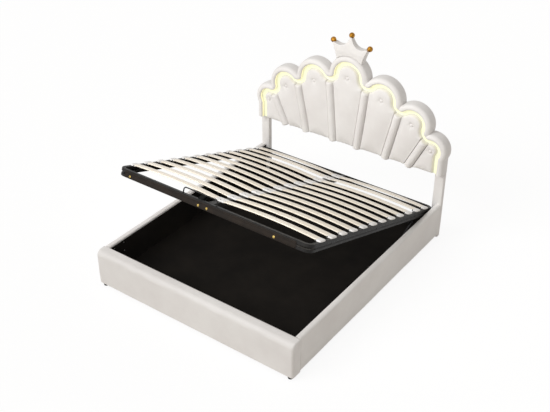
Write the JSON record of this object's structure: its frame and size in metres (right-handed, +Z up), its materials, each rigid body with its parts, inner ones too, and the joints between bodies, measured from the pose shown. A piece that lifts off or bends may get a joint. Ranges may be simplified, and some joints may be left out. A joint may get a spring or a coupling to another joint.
{
  "type": "ottoman bed",
  "caption": "Upholstered ottoman bed with a scalloped shell headboard, a crown, a light strip and a slatted platform that lifts on gas struts over a storage box.",
  "frame": {"origin": "on the floor, at the middle of the bounding box", "axes": "+X to the right seen from the foot end, +Y from the foot end to the headboard, +Z up"},
  "size_m": [1.9214, 2.23, 1.668],
  "materials": {
    "upholstery": "satin off-white upholstery",
    "lining": "matt black lining",
    "black_steel": "satin black coating",
    "birch": "pale sprung slats with white end caps",
    "bright_steel": "polished rod",
    "gold": "polished gold",
    "black_plastic": "matt",
    "webbing": "woven webbing",
    "diffuser": "lit pale yellow diffuser"
  },
  "bodies": {
    "bed_box": {"foot_cover": "upholstery", "headboard_border": "upholstery", "headboard_core": "upholstery", "centre_petal": "upholstery", "crown": "upholstery", "left_rail_cover": "upholstery", "right_rail_cover": "upholstery", "left_leg": "upholstery", "right_leg": "upholstery", "left_petal_1": "upholstery", "left_petal_2": "upholstery", "left_petal_3": "upholstery", "right_petal_1": "upholstery", "right_petal_2": "upholstery", "right_petal_3": "upholstery", "left_flute_1": "upholstery", "left_flute_2": "upholstery", "left_flute_3": "upholstery", "right_flute_1": "upholstery", "right_flute_2": "upholstery", "right_flute_3": "upholstery", "foot_board": "lining", "floor_panel_front": "lining", "floor_panel_back": "lining", "floor_frame": "lining", "head_cross_board": "lining", "left_rail_board": "lining", "right_rail_board": "lining", "front_left_foot": "black_plastic", "front_right_foot": "black_plastic", "led_strip": "diffuser", "crown_ball_left": "gold", "crown_ball_centre": "gold", "crown_ball_right": "gold", "left_lift_base": "black_steel", "right_lift_base": "black_steel"},
    "platform": {"left_half_frame": "black_steel", "right_half_frame": "black_steel", "centre_rail": "black_steel", "foot_plate": "black_steel", "slat_row_01": "birch", "slat_row_02": "birch", "slat_row_03": "birch", "slat_row_04": "birch", "slat_row_05": "birch", "slat_row_06": "birch", "slat_row_07": "birch", "slat_row_08": "birch", "slat_row_09": "birch", "slat_row_10": "birch", "slat_row_11": "birch", "slat_row_12": "birch", "mattress_hoop": "black_steel", "pull_strap": "webbing"},
    "left_strut": {"left_strut_tube": "black_steel"},
    "right_strut": {"right_strut_tube": "black_steel"},
    "left_rod": {"left_strut_rod": "bright_steel"},
    "right_rod": {"right_strut_rod": "bright_steel"}
  },
  "joints": [
    {"name": "platform_lift", "type": "hinge", "parent": "bed_box", "child": "platform", "pos_m": [0, 1.01239, 0.27016], "axis": [-1, 0, 0], "range_deg": [-20, 12]},
    {"name": "left_strut_swing", "type": "hinge", "parent": "bed_box", "child": "left_strut", "pos_m": [-0.868, 0.185, 0.11], "axis": [1, 0, 0], "range_deg": [-10.5, 6.5]},
    {"name": "right_strut_swing", "type": "hinge", "parent": "bed_box", "child": "right_strut", "pos_m": [0.868, 0.185, 0.11], "axis": [1, 0, 0], "range_deg": [-10.5, 6.5]},
    {"name": "left_strut_slide", "type": "slide", "parent": "left_strut", "child": "left_rod", "axis": [0, 0.9122, 0.4098], "range_m": [-0.058, 0.036]},
    {"name": "right_strut_slide", "type": "slide", "parent": "right_strut", "child": "right_rod", "axis": [0, 0.9122, 0.4098], "range_m": [-0.058, 0.036]}
  ],
  "couplings": [
    {"joint": "left_strut_swing", "follows": "platform_lift", "ratio": 0.486},
    {"joint": "right_strut_swing", "follows": "platform_lift", "ratio": 0.486},
    {"joint": "left_strut_slide", "follows": "platform_lift", "m_per_rad": 0.1584},
    {"joint": "right_strut_slide", "follows": "platform_lift", "m_per_rad": 0.1584}
  ]
}
